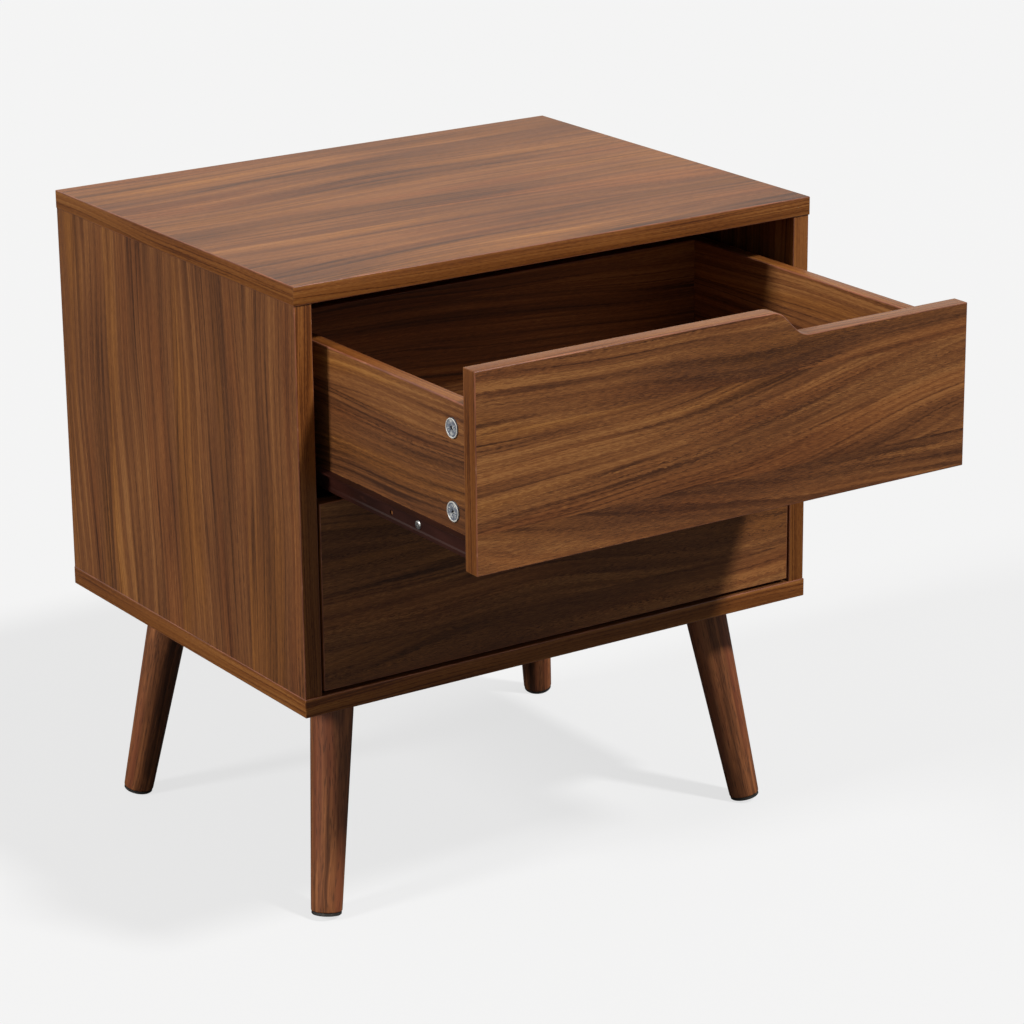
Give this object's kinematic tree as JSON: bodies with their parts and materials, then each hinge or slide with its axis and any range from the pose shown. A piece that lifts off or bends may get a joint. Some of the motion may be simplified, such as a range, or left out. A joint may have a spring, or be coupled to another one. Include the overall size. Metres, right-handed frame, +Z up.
{
  "type": "nightstand",
  "caption": "Walnut-laminate nightstand with flush drawers on roller slides, wavy finger-grip drawer tops and splayed round tapered legs.",
  "frame": {"origin": "on the floor, under the middle of the cabinet (the open upper drawer is not counted)", "axes": "+Z up, -Y towards the front, where the drawers open, +X to the right seen from the front"},
  "size_m": [0.48, 0.594, 0.5249],
  "materials": {
    "walnut_laminate": "walnut-pattern melamine film over particle board, satin, strong straight grain",
    "front_laminate": "walnut-pattern melamine film with horizontal flame grain, satin, paler edge bands",
    "box_laminate": "walnut-pattern melamine film, satin, grain along the length, paler edge bands",
    "back_panel_laminate": "thin board with dark walnut-pattern film, satin",
    "drawer_floor": "thin board with dark walnut-pattern film, satin",
    "leg_wood": "turned reddish walnut-stained wood, satin varnish, lengthwise grain",
    "rail_paint": "dark brown baked epoxy powder coat, semi-gloss",
    "roller_plastic": "off-white nylon, satin",
    "cam_zinc": "die-cast zinc, bright and slightly grainy",
    "screw_steel": "bright zinc-plated steel",
    "pad_plastic": "black matte plastic"
  },
  "bodies": {
    "cabinet": {"top_board": "walnut_laminate", "bottom_board": "walnut_laminate", "side_panel_left": "walnut_laminate", "side_panel_right": "walnut_laminate", "back_panel": "back_panel_laminate", "upper_case_rail_left": "rail_paint", "upper_case_rail_right": "rail_paint", "lower_case_rail_left": "rail_paint", "lower_case_rail_right": "rail_paint", "leg_front_left": "leg_wood", "leg_front_right": "leg_wood", "leg_back_left": "leg_wood", "leg_back_right": "leg_wood", "foot_pad_front_left": "pad_plastic", "foot_pad_front_right": "pad_plastic", "foot_pad_back_left": "pad_plastic", "foot_pad_back_right": "pad_plastic"},
    "upper_drawer": {"upper_drawer_front": "front_laminate", "upper_drawer_side_left": "box_laminate", "upper_drawer_side_right": "box_laminate", "upper_drawer_back": "box_laminate", "upper_drawer_bottom": "drawer_floor", "upper_cam_left_bottom": "cam_zinc", "upper_cam_left_top": "cam_zinc", "upper_cam_right_bottom": "cam_zinc", "upper_cam_right_top": "cam_zinc", "upper_drawer_rail_left": "rail_paint", "upper_drawer_rail_right": "rail_paint", "upper_rail_screw_left": "screw_steel", "upper_rail_screw_right": "screw_steel"},
    "lower_drawer": {"lower_drawer_front": "front_laminate", "lower_drawer_side_left": "box_laminate", "lower_drawer_side_right": "box_laminate", "lower_drawer_back": "box_laminate", "lower_drawer_bottom": "drawer_floor", "lower_cam_left_bottom": "cam_zinc", "lower_cam_left_top": "cam_zinc", "lower_cam_right_bottom": "cam_zinc", "lower_cam_right_top": "cam_zinc", "lower_drawer_rail_left": "rail_paint", "lower_drawer_rail_right": "rail_paint", "lower_rail_screw_left": "screw_steel", "lower_rail_screw_right": "screw_steel"},
    "upper_drawer_roller_left": {"upper_drawer_roller_left": "roller_plastic"},
    "upper_case_roller_left": {"upper_case_roller_left": "roller_plastic"},
    "upper_drawer_roller_right": {"upper_drawer_roller_right": "roller_plastic"},
    "upper_case_roller_right": {"upper_case_roller_right": "roller_plastic"},
    "lower_drawer_roller_left": {"lower_drawer_roller_left": "roller_plastic"},
    "lower_case_roller_left": {"lower_case_roller_left": "roller_plastic"},
    "lower_drawer_roller_right": {"lower_drawer_roller_right": "roller_plastic"},
    "lower_case_roller_right": {"lower_case_roller_right": "roller_plastic"}
  },
  "joints": [
    {"name": "upper_drawer_slide", "type": "slide", "parent": "cabinet", "child": "upper_drawer", "axis": [0, -1, 0], "range_m": [-0.215, 0.01]},
    {"name": "lower_drawer_slide", "type": "slide", "parent": "cabinet", "child": "lower_drawer", "axis": [0, -1, 0], "range_m": [0, 0.225]},
    {"name": "upper_drawer_roller_left_spin", "type": "hinge", "parent": "upper_drawer", "child": "upper_drawer_roller_left", "pos_m": [-0.21815, -0.101, 0.3693], "axis": [1, 0, 0], "continuous": true},
    {"name": "upper_case_roller_left_spin", "type": "hinge", "parent": "cabinet", "child": "upper_case_roller_left", "pos_m": [-0.21895, -0.16, 0.37], "axis": [1, 0, 0], "continuous": true},
    {"name": "upper_drawer_roller_right_spin", "type": "hinge", "parent": "upper_drawer", "child": "upper_drawer_roller_right", "pos_m": [0.21815, -0.101, 0.3693], "axis": [1, 0, 0], "continuous": true},
    {"name": "upper_case_roller_right_spin", "type": "hinge", "parent": "cabinet", "child": "upper_case_roller_right", "pos_m": [0.21895, -0.16, 0.37], "axis": [1, 0, 0], "continuous": true},
    {"name": "lower_drawer_roller_left_spin", "type": "hinge", "parent": "lower_drawer", "child": "lower_drawer_roller_left", "pos_m": [-0.21815, 0.114, 0.2153], "axis": [1, 0, 0], "continuous": true},
    {"name": "lower_case_roller_left_spin", "type": "hinge", "parent": "cabinet", "child": "lower_case_roller_left", "pos_m": [-0.21895, -0.16, 0.216], "axis": [1, 0, 0], "continuous": true},
    {"name": "lower_drawer_roller_right_spin", "type": "hinge", "parent": "lower_drawer", "child": "lower_drawer_roller_right", "pos_m": [0.21815, 0.114, 0.2153], "axis": [1, 0, 0], "continuous": true},
    {"name": "lower_case_roller_right_spin", "type": "hinge", "parent": "cabinet", "child": "lower_case_roller_right", "pos_m": [0.21895, -0.16, 0.216], "axis": [1, 0, 0], "continuous": true}
  ],
  "couplings": [
    {"joint": "upper_drawer_roller_left_spin", "follows": "upper_drawer_slide", "rad_per_m": 142.86},
    {"joint": "upper_case_roller_left_spin", "follows": "upper_drawer_slide", "rad_per_m": 142.86},
    {"joint": "upper_drawer_roller_right_spin", "follows": "upper_drawer_slide", "rad_per_m": 142.86},
    {"joint": "upper_case_roller_right_spin", "follows": "upper_drawer_slide", "rad_per_m": 142.86},
    {"joint": "lower_drawer_roller_left_spin", "follows": "lower_drawer_slide", "rad_per_m": 142.86},
    {"joint": "lower_case_roller_left_spin", "follows": "lower_drawer_slide", "rad_per_m": 142.86},
    {"joint": "lower_drawer_roller_right_spin", "follows": "lower_drawer_slide", "rad_per_m": 142.86},
    {"joint": "lower_case_roller_right_spin", "follows": "lower_drawer_slide", "rad_per_m": 142.86}
  ]
}
